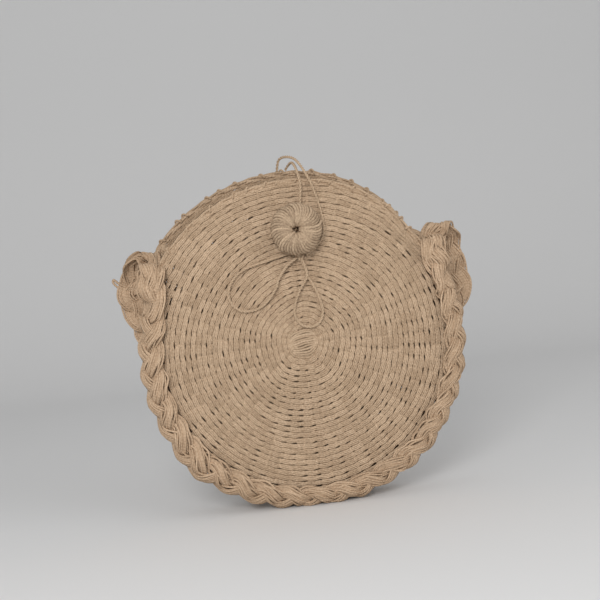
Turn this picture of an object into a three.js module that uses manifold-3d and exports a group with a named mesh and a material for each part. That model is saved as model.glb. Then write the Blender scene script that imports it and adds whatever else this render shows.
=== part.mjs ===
import * as THREE from 'three';
import { mergeVertices } from 'three/addons/utils/BufferGeometryUtils.js';
import Module from 'manifold-3d';

// Millimetres, +Z up, front of the bag towards -Y. A name ending in _DZ is a height above the hub.
const DEG = Math.PI / 180;
const FIT = 0.4;

// The two woven discs. Distance s runs along the cloth from the hub, angle phi from straight up.
const DISC_T = 4.5;
const DISC_DEPTH = 20;
const FRONT_DOME = 8;
const BACK_DOME = 4;
const SEAM_R = 128;
const TURN_R = 10;
const FRONT_LAP = 10;
const BACK_LAP = 16.9;
const FREE_RISE = 19;
const BACK_RISE = 12;
const FREE_UPTO = 49;
const SEWN_FROM = 60;
const BORDER_R = 2.4;
const LACE_R = 1;
const LACE_FIT = 0.75;
const TURN_Y = DISC_DEPTH - TURN_R;
const FREE_S = SEAM_R + FREE_RISE;

// The front disc's turned edge slips into the back one's, with the lacing in the lap between them.
const BACK_SEAM_R = SEAM_R + DISC_T + 2 * (LACE_R + LACE_FIT);
const FRONT = { side: -1, dome: FRONT_DOME, seam: SEAM_R, lap: FRONT_LAP, free: FREE_S };
const BACK = { side: 1, dome: BACK_DOME, seam: BACK_SEAM_R, lap: BACK_LAP, free: FREE_S + BACK_RISE };

// The plait of three flat strands, which goes round the bag's edge and runs on as the strap.
const STRAND_H = 1.5;
const PLAIT_SWING = 11;
const PLAIT_HALF = 4;
const PLAIT_CROSS = 2.75;
const PLAIT_PERIOD = 72;
const PLAIT_STEPS = 12;
const PLAIT_HIGH = PLAIT_CROSS + STRAND_H;

// It wraps the turn of the front disc; WRAP_AT is its middle's way from the mid-plane to the front.
const WRAP_FIT = 1.05;
const WRAP_AT = 22.6;
const WRAP_END = 74;
const WRAP_R = TURN_R + DISC_T / 2 + WRAP_FIT + PLAIT_HIGH;
const WRAP_OUT = WRAP_R + PLAIT_HIGH;
const OUTER_R = SEAM_R + WRAP_OUT;

// The soft base presses flat where it stands.
const SQUAT = 3;
const FOOT_CUT = 1;
const HUB_Z = OUTER_R - SQUAT;
const SETTLE_FULL = 30;
const SETTLE_NONE = 80;

// Each ear rises from the end of the wrap, arches back over the mouth's corner and leans outwards.
const EAR_HALF = 12.5;
const EAR_H = 3.5;
const EAR_CUP = 4;
const EAR_RISE = 56;
const FOLD_RISE = 26;
const EAR_OUT_LEFT = 21;
const EAR_OUT_RIGHT = 16;

// The strap hangs from the ears' ends, flat behind the bag; a TUCK is the share of its fall to the
// arc that goes straight down before it turns inwards.
const TUCK_LEFT = 0.05;
const TUCK_RIGHT = 0.2;
const STRAP_ARC_R = 127;
const STRAP_INNER_R = STRAP_ARC_R - PLAIT_SWING - 2 * PLAIT_HALF;
const STRAP_Y = domeDepth(BACK, STRAP_INNER_R) + DISC_T / 2 + FIT + PLAIT_HIGH;

// The wound button on its cord stem.
const BUTTON_DZ = 106;
const BUTTON_Y = -36.5;
const RING_R = 14.2;
const RING_HALF = 7;
const RING_H = 4.5;
const WIND_R = 0.65;
const WIND_LOOPS = 24;
const WIND_STEPS = 12;
const WIND_HOLE = [3.6, 6];
const SHANK_R = 2.1;
const STAY_R = 5;

// The closing cord and its bow.
const CORD_R = 1.2;
const KNOT_R = 3.4;
const KNOT_X = 2;
const KNOT_DZ = 81;
const BOW_LEFT = { angle: 208, length: 75, width: 42 };
const BOW_LOWER = { angle: 273, length: 64, width: 30 };

const PAPER = 0xc3a88a;
const PAPER_DARK = 0xb79a7c;
const PAPER_PALE = 0xcbb295;

function smooth(a, b, x) {
  const t = Math.min(1, Math.max(0, (x - a) / (b - a)));
  return t * t * (3 - 2 * t);
}

function mix(a, b, t) {
  return a + (b - a) * t;
}

// Radius that the bag's outer skin reaches at depth y: the plait in front, the bare turn behind.
function skinRadius(y) {
  const over = Math.max(0, Math.abs(y) - TURN_Y);
  const front = SEAM_R + Math.sqrt(Math.max(0, WRAP_OUT ** 2 - over ** 2));
  const back = BACK_SEAM_R + Math.sqrt(Math.max(0, (TURN_R + DISC_T / 2) ** 2 - over ** 2));
  return mix(front, back, smooth(-TURN_Y, TURN_Y, y));
}

// Lifts every column of the base by what the skin would sink below the floor.
function settle(v) {
  const skin = skinRadius(v.y);
  if (Math.abs(v.x) < skin) {
    const sink = Math.sqrt(skin ** 2 - v.x ** 2) - HUB_Z - FOOT_CUT;
    v.z += Math.max(0, sink) * (1 - smooth(SETTLE_FULL, SETTLE_NONE, v.z));
  }
  v.z = Math.max(v.z, 0);
  return v;
}

function around(phi, r, y) {
  const a = phi * DEG;
  return settle(new THREE.Vector3(r * Math.sin(a), y, HUB_Z + r * Math.cos(a)));
}

function geometryFrom(points, faces) {
  const geometry = new THREE.BufferGeometry();
  const flat = points.flatMap((p) => [p.x, p.y, p.z]);
  geometry.setAttribute('position', new THREE.Float32BufferAttribute(flat, 3));
  let volume = 0;
  for (const [a, b, c] of faces) {
    volume += points[a].dot(new THREE.Vector3().crossVectors(points[b], points[c]));
  }
  const index = faces.flatMap(([a, b, c]) => (volume > 0 ? [a, b, c] : [a, c, b]));
  geometry.setIndex(index);
  geometry.computeVertexNormals();
  return geometry;
}

// A closed solid through a row of like-numbered rings.
function loft(rings) {
  const n = rings[0].length;
  const points = rings.flat();
  const faces = [];
  for (let i = 0; i + 1 < rings.length; i += 1) {
    for (let j = 0; j < n; j += 1) {
      const a = i * n + j;
      const b = i * n + ((j + 1) % n);
      if (points[a].distanceTo(points[b + n]) < points[b].distanceTo(points[a + n])) {
        faces.push([a, b, b + n], [a, b + n, a + n]);
      } else {
        faces.push([a, b, a + n], [b, b + n, a + n]);
      }
    }
  }
  for (const [first, flip] of [[0, true], [(rings.length - 1) * n, false]]) {
    const centre = new THREE.Vector3();
    for (let j = 0; j < n; j += 1) {
      centre.addScaledVector(points[first + j], 1 / n);
    }
    const hub = points.push(centre) - 1;
    for (let j = 0; j < n; j += 1) {
      const a = first + j;
      const b = first + ((j + 1) % n);
      faces.push(flip ? [hub, b, a] : [hub, a, b]);
    }
  }
  return geometryFrom(points, faces);
}

// A round tube along a smooth curve through the given points.
function tube(route, radius, steps, sides) {
  const curve = new THREE.CatmullRomCurve3(route, false, 'centripetal');
  const frames = curve.computeFrenetFrames(steps, false);
  const rings = [];
  for (let i = 0; i <= steps; i += 1) {
    const centre = curve.getPointAt(i / steps);
    const ring = [];
    for (let j = 0; j < sides; j += 1) {
      const a = (2 * Math.PI * j) / sides;
      const p = centre.clone().addScaledVector(frames.normals[i], radius * Math.cos(a));
      ring.push(p.addScaledVector(frames.binormals[i], radius * Math.sin(a)));
    }
    rings.push(ring);
  }
  return loft(rings);
}

// Flat band section: full thickness over the middle, thinning to both edges.
const BAND = [[-1, 0], [-0.5, 1], [0.5, 1], [1, 0], [0.5, -1], [-0.5, -1]];

// A plait has a whole number of periods, so its strands end as they start.
function plaitPeriods(length) {
  return Math.max(1, Math.round(length / PLAIT_PERIOD));
}

// Section of strand k after some periods of the plait: across once a period, in and out twice.
function plaitSection(k, periods) {
  const phase = 2 * Math.PI * (periods + k / 3);
  const slope = (PLAIT_SWING * 2 * Math.PI * Math.cos(phase)) / PLAIT_PERIOD;
  const half = PLAIT_HALF * Math.hypot(1, slope);
  return BAND.map(([f, h]) => [
    PLAIT_SWING * Math.sin(phase) + f * half,
    PLAIT_CROSS * Math.sin(2 * phase) + h * STRAND_H,
  ]);
}

function freedom(phi) {
  return 1 - smooth(FREE_UPTO, SEWN_FROM, Math.abs(phi));
}

// Depth of a disc's mid-surface from the bag's mid-plane over the part inside its seam.
function domeDepth({ seam, dome }, s) {
  return DISC_DEPTH + (s < seam ? dome * Math.cos((Math.PI * s) / (2 * seam)) ** 2 : 0);
}

function discPoint(disc, s, phi, off) {
  const free = freedom(phi);
  let r = s;
  let depth = domeDepth(disc, s) + off;
  if (s > disc.seam) {
    const turn = Math.min((s - disc.seam) / TURN_R, Math.PI / 2);
    const rest = s - disc.seam - TURN_R * turn;
    const sewnR = disc.seam + (TURN_R + off) * Math.sin(turn);
    const sewnDepth = TURN_Y + (TURN_R + off) * Math.cos(turn) - rest;
    r = mix(sewnR, s, free);
    depth = mix(sewnDepth, depth, free);
  }
  return around(phi, r, disc.side * depth);
}

function edgeLength(disc, phi) {
  return mix(disc.seam + (TURN_R * Math.PI) / 2 + disc.lap, disc.free, freedom(phi));
}

function panel(disc) {
  const columns = 72;
  const inner = [0.22, 0.45, 0.68, 0.86, 1];
  const outer = [0.27, 0.53, 0.8, 1];
  const points = [];
  const faces = [];
  const layers = [1, -1].map((face) => {
    const off = (face * DISC_T) / 2;
    const hub = points.push(discPoint(disc, 0, 0, off)) - 1;
    const rows = [...inner, ...outer].map((part, j) => {
      const first = points.length;
      for (let i = 0; i < columns; i += 1) {
        const phi = -180 + (360 * i) / columns;
        const s = j < inner.length ? part * disc.seam : mix(disc.seam, edgeLength(disc, phi), part);
        points.push(discPoint(disc, s, phi, off));
      }
      return first;
    });
    return { hub, rows, face };
  });
  for (let i = 0; i < columns; i += 1) {
    const next = (i + 1) % columns;
    for (const { hub, rows, face } of layers) {
      const add = (a, b, c) => faces.push(face > 0 ? [a, b, c] : [a, c, b]);
      add(hub, rows[0] + i, rows[0] + next);
      for (let j = 0; j + 1 < rows.length; j += 1) {
        add(rows[j] + i, rows[j + 1] + i, rows[j + 1] + next);
        add(rows[j] + i, rows[j + 1] + next, rows[j] + next);
      }
    }
    const [top, low] = layers.map((l) => l.rows[l.rows.length - 1]);
    faces.push([top + i, low + i, low + next], [top + i, low + next, top + next]);
  }
  return geometryFrom(points, faces);
}

// Turned-over spoke ends along a free rim, as one rounded border.
function border(disc) {
  const route = [];
  for (let phi = -FREE_UPTO; phi <= FREE_UPTO; phi += 4) {
    route.push(around(phi, disc.free + FIT + BORDER_R, disc.side * DISC_DEPTH));
  }
  return tube(route, BORDER_R, 40, 6);
}

// A point of the wrap: v runs from the mid-plane over the turn to the front, w outwards from its middle.
function wrapPoint(phi, v, w) {
  const turn = Math.min(Math.max(0, v - TURN_Y) / WRAP_R, Math.PI / 2);
  const rest = Math.max(0, v - TURN_Y) - WRAP_R * turn;
  const rho = WRAP_R + w;
  const y = -Math.min(v, TURN_Y) - rho * Math.sin(turn);
  return around(phi, SEAM_R + rho * Math.cos(turn) - rest, y);
}

function gussetStrand(k) {
  const arc = 360 - 2 * WRAP_END;
  const runR = SEAM_R + WRAP_R * Math.cos((WRAP_AT - TURN_Y) / WRAP_R);
  const periods = plaitPeriods(arc * DEG * runR);
  const steps = periods * PLAIT_STEPS;
  const rings = [];
  for (let i = 0; i <= steps; i += 1) {
    const part = i / steps;
    rings.push(plaitSection(k, periods * part).map(([u, w]) => (
      wrapPoint(WRAP_END + arc * part, WRAP_AT + u, w))));
  }
  return loft(rings);
}

// The lacing zigzags in the lap between the discs' turned edges.
function lacing() {
  const r = SEAM_R + TURN_R + DISC_T / 2 + LACE_FIT + LACE_R;
  const frontEdge = TURN_Y - FRONT_LAP;
  const backEdge = TURN_Y - BACK_LAP;
  const turns = 52;
  const route = [];
  for (let i = 0; i <= turns; i += 1) {
    const phi = mix(WRAP_END, 360 - WRAP_END, i / turns);
    route.push(around(phi, r, i % 2 ? -frontEdge - LACE_R : backEdge + LACE_R));
  }
  return tube(route, LACE_R, turns, 5);
}

// Route of an ear's middle: out of the wrap, up in front of the disc, over the mouth's corner and down.
function earRoute(side) {
  const start = wrapPoint(side * (WRAP_END - 1), WRAP_AT, 0);
  const lean = side * (side < 0 ? EAR_OUT_LEFT : EAR_OUT_RIGHT);
  const front = -(DISC_DEPTH + DISC_T / 2 + 3 * FIT + EAR_H);
  const fold = FOLD_RISE / EAR_RISE;
  const rest = [
    [0.05, front, 0.35],
    [0.1, front, 0.64],
    [0.12, 0.8 * front, 0.77],
    [0.16, 0.35 * front, 0.8],
    [0.28, 0.08 * STRAP_Y, 0.94],
    [0.5, 0.45 * STRAP_Y, 1],
    [0.86, 0.88 * STRAP_Y, 0.9],
    [1, STRAP_Y, (1 + fold) / 2],
    [1, STRAP_Y, fold],
  ].map(([out, y, rise]) => new THREE.Vector3(start.x + lean * out, y, start.z + EAR_RISE * rise));
  return [start, wrapPoint(side * (WRAP_END - 4.5), WRAP_AT, 0), ...rest];
}

// The gathered plait of an ear turns from lying on the wrap to facing the front, cupped in its arch.
function ear(side) {
  const curve = new THREE.CatmullRomCurve3(earRoute(side), false, 'centripetal');
  const phi = side * (WRAP_END - 1);
  const onWrap = wrapPoint(phi, WRAP_AT - 1, 0).sub(wrapPoint(phi, WRAP_AT + 1, 0)).normalize();
  const outwards = new THREE.Vector3(side, 0, 0);
  const rings = [];
  const steps = 24;
  for (let i = 0; i <= steps; i += 1) {
    const cup = side * EAR_CUP * smooth(0.45, 0.65, i / steps) * (1 - smooth(0.75, 0.95, i / steps));
    const centre = curve.getPointAt(i / steps);
    const along = curve.getTangentAt(i / steps);
    const wide = onWrap.clone().lerp(outwards, smooth(0, 0.25, i / steps));
    wide.addScaledVector(along, -along.dot(wide)).normalize();
    const thick = new THREE.Vector3().crossVectors(along, wide);
    rings.push(BAND.map(([f, h]) => centre.clone()
      .addScaledVector(wide, f * EAR_HALF)
      .addScaledVector(thick, h * EAR_H + cup * f ** 2)));
  }
  return loft(rings);
}

// Half of the strap's middle line: straight down from an ear's end, then in behind the bag and round.
function strapHalf(side) {
  const end = earRoute(side).pop();
  const arcFrom = 102;
  const arcX = side * STRAP_ARC_R * Math.sin(arcFrom * DEG);
  const arcZ = HUB_Z + STRAP_ARC_R * Math.cos(arcFrom * DEG);
  const top = end.z - FIT;
  const tuck = side < 0 ? TUCK_LEFT : TUCK_RIGHT;
  const half = [0, 0.08, 0.22, 0.42, 0.6, 0.8].map((down) => {
    const x = mix(end.x, arcX, smooth(tuck, 1, down) * (down > 0.1));
    return new THREE.Vector3(x, STRAP_Y, mix(top, arcZ, down));
  });
  for (let a = arcFrom; a < 175; a += 15) {
    const x = side * STRAP_ARC_R * Math.sin(a * DEG);
    half.push(new THREE.Vector3(x, STRAP_Y, HUB_Z + STRAP_ARC_R * Math.cos(a * DEG)));
  }
  return half;
}

function strapStrand(k) {
  const low = new THREE.Vector3(0, STRAP_Y, HUB_Z - STRAP_ARC_R);
  const route = [...strapHalf(-1), low, ...strapHalf(1).reverse()];
  const curve = new THREE.CatmullRomCurve3(route, false, 'centripetal');
  const periods = plaitPeriods(curve.getLength());
  const steps = periods * PLAIT_STEPS;
  const rings = [];
  for (let i = 0; i <= steps; i += 1) {
    const centre = curve.getPointAt(i / steps);
    const along = curve.getTangentAt(i / steps);
    const thick = new THREE.Vector3(0, 1, 0);
    const wide = new THREE.Vector3().crossVectors(thick, along);
    rings.push(plaitSection(k, (periods * i) / steps).map(([u, w]) => (
      centre.clone().addScaledVector(wide, u).addScaledVector(thick, w))));
  }
  return loft(rings);
}

// The button's own axis runs along Y; a point at angle a, radius r and height y on it.
function onButton(a, r, y) {
  return new THREE.Vector3(r * Math.cos(a), BUTTON_Y + y, HUB_Z + BUTTON_DZ + r * Math.sin(a));
}

function buttonCore() {
  const columns = 24;
  const rings = [];
  for (let i = 0; i < columns; i += 1) {
    const a = (2 * Math.PI * i) / columns;
    const ring = [];
    for (let j = 0; j < 8; j += 1) {
      const t = (2 * Math.PI * j) / 8;
      ring.push(onButton(a, RING_R + RING_HALF * Math.cos(t), RING_H * Math.sin(t)));
    }
    rings.push(ring);
  }
  const points = rings.flat();
  const faces = [];
  for (let i = 0; i < columns; i += 1) {
    for (let j = 0; j < 8; j += 1) {
      const a = i * 8 + j;
      const b = i * 8 + ((j + 1) % 8);
      const c = ((i + 1) % columns) * 8 + ((j + 1) % 8);
      const d = ((i + 1) % columns) * 8 + j;
      faces.push([a, b, c], [a, c, d]);
    }
  }
  return geometryFrom(points, faces);
}

// One unbroken cord through the ring's hole, every second loop lying deeper in the hole.
function windingRoute() {
  const lift = WIND_R + FIT;
  const route = [];
  for (let i = 0; i <= (WIND_LOOPS - 0.5) * WIND_STEPS; i += 1) {
    const turn = i / WIND_STEPS;
    const t = 2 * Math.PI * turn;
    const hole = WIND_HOLE[Math.floor(turn) % 2];
    const reach = Math.cos(t) > 0 ? RING_HALF + lift + 0.6 : RING_R - hole;
    const r = RING_R + reach * Math.cos(t);
    route.push(onButton((2 * Math.PI * turn) / WIND_LOOPS, r, (RING_H + lift + 0.3) * Math.sin(t)));
  }
  return route;
}

function leastSelfGap(route, radius) {
  let least = Infinity;
  for (let i = 0; i + 1 < route.length; i += 1) {
    for (let j = i + 6; j + 1 < route.length; j += 1) {
      for (const f of [0, 0.25, 0.5, 0.75]) {
        const p = new THREE.Vector3().lerpVectors(route[i], route[i + 1], f);
        const chord = new THREE.Line3(route[j], route[j + 1]);
        const q = chord.closestPointToPoint(p, true, new THREE.Vector3());
        least = Math.min(least, p.distanceTo(q));
      }
    }
  }
  return least - 2 * radius;
}

function winding() {
  const route = windingRoute();
  const rings = route.map((p, i) => {
    const before = route[Math.max(0, i - 1)];
    const after = route[Math.min(route.length - 1, i + 1)];
    const along = after.clone().sub(before).normalize();
    const a = (2 * Math.PI * i) / WIND_STEPS / WIND_LOOPS;
    const ringMiddle = onButton(a, RING_R, 0);
    const out = p.clone().sub(ringMiddle);
    out.addScaledVector(along, -along.dot(out)).normalize();
    const side = new THREE.Vector3().crossVectors(along, out);
    const ring = [];
    for (let j = 0; j < 5; j += 1) {
      const t = (2 * Math.PI * j) / 5;
      const q = p.clone().addScaledVector(out, WIND_R * Math.cos(t));
      ring.push(q.addScaledVector(side, WIND_R * Math.sin(t)));
    }
    return ring;
  });
  console.log('winding least self-gap mm', leastSelfGap(route, WIND_R).toFixed(2));
  return loft(rings);
}

// A short round piece along Y.
function stub(radius, from, to, x, dz, sides) {
  const rings = [from, to].map((y) => {
    const ring = [];
    for (let j = 0; j < sides; j += 1) {
      const a = (2 * Math.PI * j) / sides;
      ring.push(new THREE.Vector3(x + radius * Math.cos(a), y, HUB_Z + dz + radius * Math.sin(a)));
    }
    return ring;
  });
  return loft(rings);
}

function knot(radius, x, y, dz) {
  const geometry = new THREE.SphereGeometry(radius, 12, 8);
  geometry.scale(1.15, 0.8, 1);
  geometry.translate(x, y, HUB_Z + dz);
  geometry.deleteAttribute('uv');
  geometry.deleteAttribute('normal');
  return mergeVertices(geometry);
}

// Where a cord lies against the front disc.
function onFront(x, dz) {
  const y = -(domeDepth(FRONT, Math.hypot(x, dz)) + DISC_T / 2 + FIT + CORD_R);
  return new THREE.Vector3(x, y, HUB_Z + dz);
}

// Teardrop loop of the bow, both ends at the knot.
function bowLoop({ angle, length, width }) {
  const route = [];
  const steps = 16;
  for (let i = 0; i <= steps; i += 1) {
    const t = mix(0.5, 2 * Math.PI - 0.5, i / steps);
    const along = (length * (1 - Math.cos(t))) / 2;
    const across = (width / 2) * 1.54 * Math.sin(t) * Math.sin(t / 2) ** 2;
    const c = Math.cos(angle * DEG);
    const s = Math.sin(angle * DEG);
    route.push(onFront(KNOT_X + along * c - across * s, KNOT_DZ + along * s + across * c));
  }
  return tube(route, CORD_R, 30, 8);
}

// Both legs of the closing cord rise from the anchor, cross the mouth and pass the button.
function leg(side) {
  const right = side > 0;
  const rim = FREE_S + FIT + 2 * BORDER_R + FIT + CORD_R;
  const front = DISC_DEPTH + BORDER_R + FIT + CORD_R;
  const behind = front + FIT;
  const anchorX = right ? -7 : 1.5;
  const over = [
    new THREE.Vector3(anchorX, behind, HUB_Z + FREE_S + BACK_RISE + (right ? 1.5 : 4)),
    new THREE.Vector3(anchorX + 3, DISC_DEPTH, HUB_Z + rim + BACK_RISE + (right ? 7 : 1.5)),
    new THREE.Vector3(anchorX + (right ? 14 : 5), 0, HUB_Z + rim + BACK_RISE + (right ? 6 : 1)),
    new THREE.Vector3(right ? 15 : 8, -DISC_DEPTH, HUB_Z + rim + 2),
    new THREE.Vector3(right ? 19 : 8.5, -front - 1, HUB_Z + FREE_S - 3),
  ];
  const beside = RING_R + RING_HALF + 4 * WIND_R + 2 * FIT + CORD_R;
  const down = right
    ? [onFront(beside, BUTTON_DZ + 8), onFront(beside - 1, BUTTON_DZ - 8), onFront(15, KNOT_DZ + 6)]
    : [onFront(6.5, BUTTON_DZ + 20), onFront(5, BUTTON_DZ), onFront(3.4, KNOT_DZ + 9)];
  const end = right
    ? onFront(KNOT_X + KNOT_R + 2.4, KNOT_DZ + 1)
    : onFront(KNOT_X, KNOT_DZ + KNOT_R + 0.6);
  return tube([...over, ...down, end], CORD_R, 34, 8);
}

function manifoldOf(wasm, geometry) {
  const clean = geometry.clone();
  clean.deleteAttribute('normal');
  const merged = mergeVertices(clean);
  return new wasm.Manifold(new wasm.Mesh({
    numProp: 3,
    vertProperties: new Float32Array(merged.attributes.position.array),
    triVerts: new Uint32Array(merged.index.array),
  }));
}

function cut(wasm, geometry, tool) {
  const mesh = manifoldOf(wasm, geometry).subtract(manifoldOf(wasm, tool)).getMesh();
  const result = new THREE.BufferGeometry();
  result.setAttribute('position', new THREE.BufferAttribute(mesh.vertProperties, 3));
  result.setIndex(Array.from(mesh.triVerts));
  result.computeVertexNormals();
  return result;
}

const wasm = await Module();
wasm.setup();

const bag = new THREE.Group();
bag.name = 'woven_paper_bag';

function add(name, geometry, color, roughness = 0.85) {
  const material = new THREE.MeshStandardMaterial({ color, roughness, metalness: 0 });
  const mesh = new THREE.Mesh(geometry, material);
  mesh.name = name;
  bag.add(mesh);
}

const buttonFace = domeDepth(FRONT, BUTTON_DZ);
const shankHole = stub(SHANK_R + FIT, -buttonFace - 9, -buttonFace + 9, 0, BUTTON_DZ, 12);
const stayFrom = -buttonFace + DISC_T / 2 + FIT;

add('front_panel', cut(wasm, panel(FRONT), shankHole), PAPER);
add('back_panel', panel(BACK), PAPER);
add('front_border', border(FRONT), PAPER_PALE);
add('back_border', border(BACK), PAPER_PALE);
for (let k = 0; k < 3; k += 1) {
  add(`gusset_strand_${k + 1}`, gussetStrand(k), PAPER_DARK);
}
add('seam_lacing', lacing(), PAPER_DARK);
add('ear_left', ear(-1), PAPER_DARK);
add('ear_right', ear(1), PAPER_DARK);
for (let k = 0; k < 3; k += 1) {
  add(`strap_strand_${k + 1}`, strapStrand(k), PAPER_DARK);
}
add('button_core', buttonCore(), PAPER_DARK);
add('button_winding', winding(), PAPER_PALE);
add('button_shank', stub(SHANK_R, BUTTON_Y - 2, stayFrom - FIT, 0, BUTTON_DZ, 12), PAPER_DARK);
add('button_stay', stub(STAY_R, stayFrom, stayFrom + 4, 0, BUTTON_DZ, 16), PAPER_DARK);
const anchorY = DISC_DEPTH + DISC_T / 2 + FIT + 0.8 * KNOT_R;
add('tie_anchor', knot(KNOT_R, -3, anchorY, FREE_S + BACK_RISE - 6), PAPER_PALE);
add('tie_leg_left', leg(-1), PAPER_PALE);
add('tie_leg_right', leg(1), PAPER_PALE);
add('tie_knot', knot(KNOT_R, KNOT_X, onFront(KNOT_X, KNOT_DZ).y - KNOT_R + CORD_R, KNOT_DZ), PAPER_PALE);
add('bow_loop_left', bowLoop(BOW_LEFT), PAPER_PALE);
add('bow_loop_lower', bowLoop(BOW_LOWER), PAPER_PALE);

export default bag;
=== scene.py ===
"""Looks of the round woven paper-cord bag: every row, plait and winding is drawn as real cord."""

import math

import bpy
import numpy as np
from mathutils import Matrix, Vector


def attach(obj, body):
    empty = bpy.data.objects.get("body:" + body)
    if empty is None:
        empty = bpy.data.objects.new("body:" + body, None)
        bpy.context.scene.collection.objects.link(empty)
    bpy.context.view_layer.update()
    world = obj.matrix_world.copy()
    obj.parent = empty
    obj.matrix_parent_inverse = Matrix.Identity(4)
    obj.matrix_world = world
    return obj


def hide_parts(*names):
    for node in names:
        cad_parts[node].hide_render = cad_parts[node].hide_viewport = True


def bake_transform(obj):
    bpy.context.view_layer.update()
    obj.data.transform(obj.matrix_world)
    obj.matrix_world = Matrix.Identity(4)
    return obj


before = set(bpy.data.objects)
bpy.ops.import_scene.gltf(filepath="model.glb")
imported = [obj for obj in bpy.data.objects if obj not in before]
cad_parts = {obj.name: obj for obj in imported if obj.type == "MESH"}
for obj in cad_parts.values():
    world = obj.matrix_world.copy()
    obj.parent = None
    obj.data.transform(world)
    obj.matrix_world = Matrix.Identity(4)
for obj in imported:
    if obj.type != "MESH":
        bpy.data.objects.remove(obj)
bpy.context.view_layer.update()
CORD_SEED = 11
rng = np.random.default_rng(CORD_SEED)

MM = 0.001
TAU = 2 * math.pi

# Sizes in millimetres and angles in degrees, the same as the solids in the frame
DISC_T = 4.5
DISC_DEPTH = 20.0
SEAM_R = 128.0
TURN_R = 10.0
BACK_WIDER = 8.0
BACK_RISE = 12.0
FREE_REACH = 19.0
FREE_UPTO = 49.0
SEWN_FROM = 60.0
BORDER_R = 2.4
TURN_Y = DISC_DEPTH - TURN_R
BACK_SEAM_R = SEAM_R + BACK_WIDER
FREE_S = SEAM_R + FREE_REACH
PLAIT_SWING = 11.0
PLAIT_CROSS = 2.75
PLAIT_PERIOD = 72.0
WRAP_FIT = 1.05
FIT = 0.4
STRAND_H = 1.5
PLAIT_HIGH = PLAIT_CROSS + STRAND_H
WRAP_AT = 22.6
WRAP_END = 74.0
WRAP_R = TURN_R + DISC_T / 2 + WRAP_FIT + PLAIT_HIGH
WRAP_OUT = WRAP_R + PLAIT_HIGH
OUTER_R = SEAM_R + WRAP_OUT
FOOT_SINK = 3.0
FOOT_CUT = 1.0
HUB_Z = OUTER_R - FOOT_SINK
STRAP_ARC_R = 127.0
STRAP_EDGE = 8.0
BUTTON_DZ = 106.0
BUTTON_Y = -36.5
KNOT_X = 2.0
KNOT_DZ = 81.0
CORD_R = 1.25

# The soft base's lift fades out between these heights, and middle lines stay off the floor
BASE_FADE = (30, 80)
DISC_FLOOR = 1.2
PLAIT_FLOOR = 1.25

# Each sink lowers the free rim by a depth, reached between two angles to the right
BACK_SAG = 2.0
FRONT = {
    "side": -1,
    "dome": 8.0,
    "seam": SEAM_R,
    "lap": 10.0,
    "free": FREE_S,
    "turns_late": 5.0,
    "sinks": ((2.5, 18, 34), (5.5, 35, 48)),
    "rows_out": 4,
    "spoke_fill": 0.6,
}
BACK = {
    "side": 1,
    "dome": 4.0,
    "seam": BACK_SEAM_R,
    "lap": 16.9,
    "free": FREE_S + BACK_RISE - BACK_SAG,
    "turns_late": 0.0,
    "sinks": ((6.5, 8, 46), (4.5, 34, 48)),
    "rows_out": 5,
    "spoke_fill": 1.08,
}


def smooth(a, b, x):
    t = np.clip((x - a) / (b - a), 0, 1)
    return t * t * (3 - 2 * t)


def hump(x, middle, half_width):
    return np.exp(-(((x - middle) / half_width) ** 2))


def mix(a, b, t):
    return a + (b - a) * t


def unit(v):
    return v / np.maximum(np.linalg.norm(v, axis=-1, keepdims=True), 1e-9)


def across(v, along):
    """The part of v square to the direction along, at unit length."""
    return unit(v - along * (along * v).sum(-1, keepdims=True))


def folded(phi):
    """The angle from the top of the disc, negative to the left."""
    return (phi + 180) % 360 - 180


def skin_radius(y):
    """Radius of the bag's outer skin at depth y."""
    over = np.maximum(0, np.abs(y) - TURN_Y)
    front = SEAM_R + np.sqrt(np.maximum(0, WRAP_OUT**2 - over**2))
    back = BACK_SEAM_R + np.sqrt(np.maximum(0, (TURN_R + DISC_T / 2) ** 2 - over**2))
    return mix(front, back, smooth(-TURN_Y, TURN_Y, y))


def settle(p, floor=0.0):
    """Lifts the columns of the soft base as the solids have it."""
    sink = np.sqrt(np.maximum(0, skin_radius(p[:, 1]) ** 2 - p[:, 0] ** 2)) - HUB_Z - FOOT_CUT
    p = p.copy()
    p[:, 2] += np.maximum(0, sink) * (1 - smooth(*BASE_FADE, p[:, 2]))
    p[:, 2] = np.maximum(p[:, 2], floor)
    return p


def around(phi, r, y, floor=0.0):
    a = np.radians(phi)
    p = np.stack([r * np.sin(a), np.broadcast_to(y, a.shape), HUB_Z + r * np.cos(a)], -1)
    return settle(p, floor)


def freedom(disc, phi):
    """How free of the seam a disc's edge is: the front one stays flat till it is under the ear."""
    late = disc["turns_late"]
    return 1 - smooth(FREE_UPTO + late, SEWN_FROM + late, np.abs(folded(phi)))


def dome_depth(disc, s):
    inside = disc["dome"] * np.cos(np.pi * s / (2 * disc["seam"])) ** 2
    return DISC_DEPTH + np.where(s < disc["seam"], inside, 0)


STRAP_INNER_R = STRAP_ARC_R - PLAIT_SWING - STRAP_EDGE
STRAP_Y = float(dome_depth(BACK, STRAP_INNER_R)) + DISC_T / 2 + FIT + PLAIT_HIGH


def disc_point(disc, s, phi, off):
    """A point of a disc at length s from the hub, and off outwards."""
    free = freedom(disc, phi)
    seam = disc["seam"]
    turn = np.clip((s - seam) / TURN_R, 0, math.pi / 2)
    rest = np.maximum(0, s - seam - TURN_R * turn)
    depth = dome_depth(disc, s) + off
    sewn_r = seam + (TURN_R + off) * np.sin(turn)
    sewn_depth = TURN_Y + (TURN_R + off) * np.cos(turn) - rest
    r = np.where(s > seam, mix(sewn_r, s, free), s)
    y = np.where(s > seam, mix(sewn_depth, depth, free), depth)
    return around(phi, r, disc["side"] * y, DISC_FLOOR)


def rim(disc, phi):
    """Radius of the free rim, which sinks to the right."""
    r = disc["free"]
    for depth, start, end in disc["sinks"]:
        r = r - depth * smooth(start, end, folded(phi))
    return r


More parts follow.
